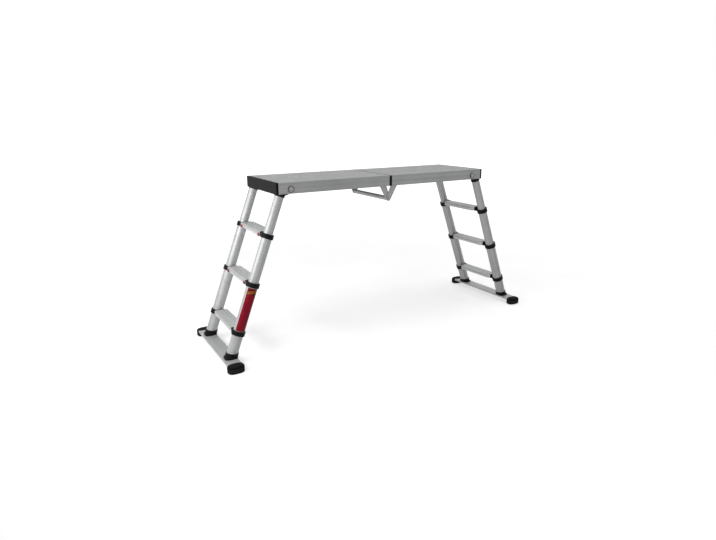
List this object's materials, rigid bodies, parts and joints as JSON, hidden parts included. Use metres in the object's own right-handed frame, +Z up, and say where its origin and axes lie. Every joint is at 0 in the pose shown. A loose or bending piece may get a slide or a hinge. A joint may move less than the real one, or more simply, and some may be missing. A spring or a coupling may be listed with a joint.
{
  "type": "folding work platform",
  "caption": "Folding aluminium work platform: a hinged deck on splayed telescopic ladder legs with release buttons, foot bars and rubber feet.",
  "frame": {"origin": "on the floor under the middle of the deck", "axes": "+X along the deck, +Y across it towards the back, +Z up"},
  "size_m": [1.7796, 0.542, 0.8],
  "materials": {
    "aluminium": "satin mill finish",
    "tube_aluminium": "satin anodised",
    "black_plastic": "matt moulded",
    "red_plastic": "smooth moulded",
    "guide_plastic": "smooth moulded",
    "steel": "zinc plated",
    "rubber": "matt"
  },
  "bodies": {
    "left_deck": {"left_deck_plank": "aluminium", "left_end_cap": "black_plastic", "left_seam_cap": "black_plastic", "left_hinge_arms": "aluminium", "left_hinge_blocks": "aluminium", "left_arm_rivets": "aluminium", "left_pivot_pins": "steel", "left_pivot_washers": "black_plastic", "hinge_tube": "tube_aluminium", "hinge_rod": "steel"},
    "left_leg_top": {"left_leg_brackets": "aluminium", "left_bracket_bolts": "steel", "left_top_tubes": "tube_aluminium", "left_top_rings": "black_plastic", "left_top_tube_bushes": "guide_plastic"},
    "left_leg_middle": {"left_mid_tubes": "tube_aluminium", "left_mid_tube_bushes": "guide_plastic", "left_upper_collars": "black_plastic", "left_upper_tread": "aluminium"},
    "left_leg_bottom": {"left_bottom_tubes": "tube_aluminium", "left_middle_collars": "black_plastic", "left_middle_tread": "aluminium", "left_lower_collars": "black_plastic", "left_lower_tread": "aluminium", "left_bar_sockets": "black_plastic", "left_foot_bar": "aluminium", "left_rubber_feet": "rubber"},
    "left_upper_button_front": {"left_upper_button_front": "red_plastic"},
    "left_upper_button_back": {"left_upper_button_back": "red_plastic"},
    "left_middle_button_front": {"left_middle_button_front": "red_plastic"},
    "left_middle_button_back": {"left_middle_button_back": "red_plastic"},
    "right_deck": {"right_deck_plank": "aluminium", "right_end_cap": "black_plastic", "right_seam_cap": "black_plastic", "right_hinge_arms": "aluminium", "right_hinge_blocks": "aluminium", "right_arm_rivets": "aluminium", "right_pivot_pins": "steel", "right_pivot_washers": "black_plastic"},
    "right_leg_top": {"right_leg_brackets": "aluminium", "right_bracket_bolts": "steel", "right_top_tubes": "tube_aluminium", "right_top_rings": "black_plastic", "right_top_tube_bushes": "guide_plastic"},
    "right_leg_middle": {"right_mid_tubes": "tube_aluminium", "right_mid_tube_bushes": "guide_plastic", "right_upper_collars": "black_plastic", "right_upper_tread": "aluminium"},
    "right_leg_bottom": {"right_bottom_tubes": "tube_aluminium", "right_middle_collars": "black_plastic", "right_middle_tread": "aluminium", "right_lower_collars": "black_plastic", "right_lower_tread": "aluminium", "right_bar_sockets": "black_plastic", "right_foot_bar": "aluminium", "right_rubber_feet": "rubber"},
    "right_upper_button_front": {"right_upper_button_front": "red_plastic"},
    "right_upper_button_back": {"right_upper_button_back": "red_plastic"},
    "right_middle_button_front": {"right_middle_button_front": "red_plastic"},
    "right_middle_button_back": {"right_middle_button_back": "red_plastic"}
  },
  "joints": [
    {"name": "deck_fold", "type": "hinge", "parent": "left_deck", "child": "right_deck", "pos_m": [0, 0, 0.685], "axis": [0, 1, 0], "range_deg": [0, 85]},
    {"name": "left_leg_fold", "type": "hinge", "parent": "left_deck", "child": "left_leg_top", "pos_m": [-0.53, 0, 0.769], "axis": [0, -1, 0], "range_deg": [0, 100]},
    {"name": "left_upper_slide", "type": "slide", "parent": "left_leg_top", "child": "left_leg_middle", "axis": [0.3551, 0, 0.9348], "range_m": [0, 0.165]},
    {"name": "left_lower_slide", "type": "slide", "parent": "left_leg_middle", "child": "left_leg_bottom", "axis": [0.3551, 0, 0.9348], "range_m": [0, 0.2]},
    {"name": "left_upper_button_front_slide", "type": "slide", "parent": "left_leg_middle", "child": "left_upper_button_front", "axis": [0, 1, 0], "range_m": [0, 0.008], "stiffness_N_per_m": 600, "springref_m": -0.004},
    {"name": "left_upper_button_back_slide", "type": "slide", "parent": "left_leg_middle", "child": "left_upper_button_back", "axis": [0, -1, 0], "range_m": [0, 0.008], "stiffness_N_per_m": 600, "springref_m": -0.004},
    {"name": "left_middle_button_front_slide", "type": "slide", "parent": "left_leg_bottom", "child": "left_middle_button_front", "axis": [0, 1, 0], "range_m": [0, 0.008], "stiffness_N_per_m": 600, "springref_m": -0.004},
    {"name": "left_middle_button_back_slide", "type": "slide", "parent": "left_leg_bottom", "child": "left_middle_button_back", "axis": [0, -1, 0], "range_m": [0, 0.008], "stiffness_N_per_m": 600, "springref_m": -0.004},
    {"name": "right_leg_fold", "type": "hinge", "parent": "right_deck", "child": "right_leg_top", "pos_m": [0.53, 0, 0.769], "axis": [0, 1, 0], "range_deg": [0, 100]},
    {"name": "right_upper_slide", "type": "slide", "parent": "right_leg_top", "child": "right_leg_middle", "axis": [-0.3551, 0, 0.9348], "range_m": [0, 0.165]},
    {"name": "right_lower_slide", "type": "slide", "parent": "right_leg_middle", "child": "right_leg_bottom", "axis": [-0.3551, 0, 0.9348], "range_m": [0, 0.2]},
    {"name": "right_upper_button_front_slide", "type": "slide", "parent": "right_leg_middle", "child": "right_upper_button_front", "axis": [0, 1, 0], "range_m": [0, 0.008], "stiffness_N_per_m": 600, "springref_m": -0.004},
    {"name": "right_upper_button_back_slide", "type": "slide", "parent": "right_leg_middle", "child": "right_upper_button_back", "axis": [0, -1, 0], "range_m": [0, 0.008], "stiffness_N_per_m": 600, "springref_m": -0.004},
    {"name": "right_middle_button_front_slide", "type": "slide", "parent": "right_leg_bottom", "child": "right_middle_button_front", "axis": [0, 1, 0], "range_m": [0, 0.008], "stiffness_N_per_m": 600, "springref_m": -0.004},
    {"name": "right_middle_button_back_slide", "type": "slide", "parent": "right_leg_bottom", "child": "right_middle_button_back", "axis": [0, -1, 0], "range_m": [0, 0.008], "stiffness_N_per_m": 600, "springref_m": -0.004}
  ]
}
